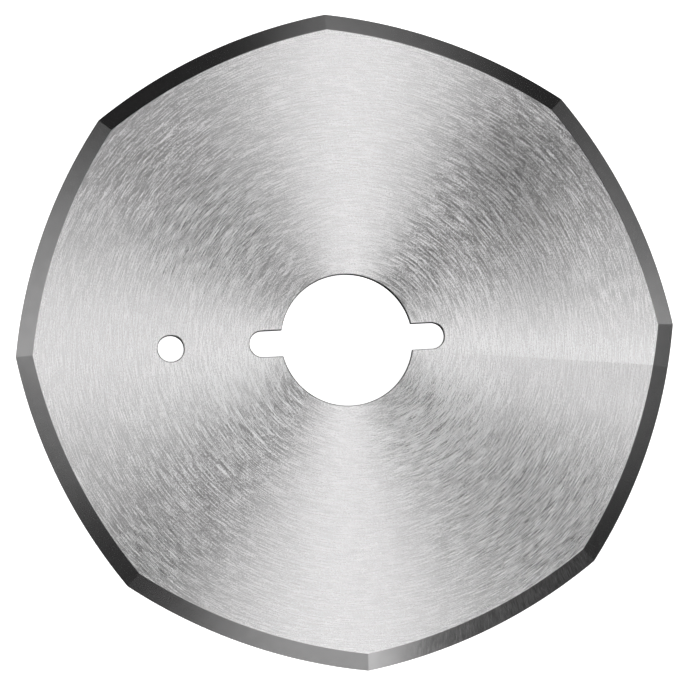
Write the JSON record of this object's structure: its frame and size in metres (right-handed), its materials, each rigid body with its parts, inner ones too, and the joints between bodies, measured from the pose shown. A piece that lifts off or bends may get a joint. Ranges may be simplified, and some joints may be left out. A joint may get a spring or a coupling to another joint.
{
  "type": "circular knife",
  "caption": "Flat polygonal circular knife with curved cutting edges bevelled on one side, a central bore with opposed keyways and an off-centre pin hole.",
  "frame": {"origin": "centre of the bore, on the flat underside", "axes": "+Z along the bore, out of the bevelled side; +X through a tip and the keyway away from the pin hole; the pin hole is on the -X side"},
  "size_m": [0.1, 0.1, 0.0012],
  "materials": {
    "blade_steel": "brushed in circles about the bore, with satin ground bevels"
  },
  "bodies": {
    "root": {"circular_knife": "blade_steel"}
  },
  "joints": []
}
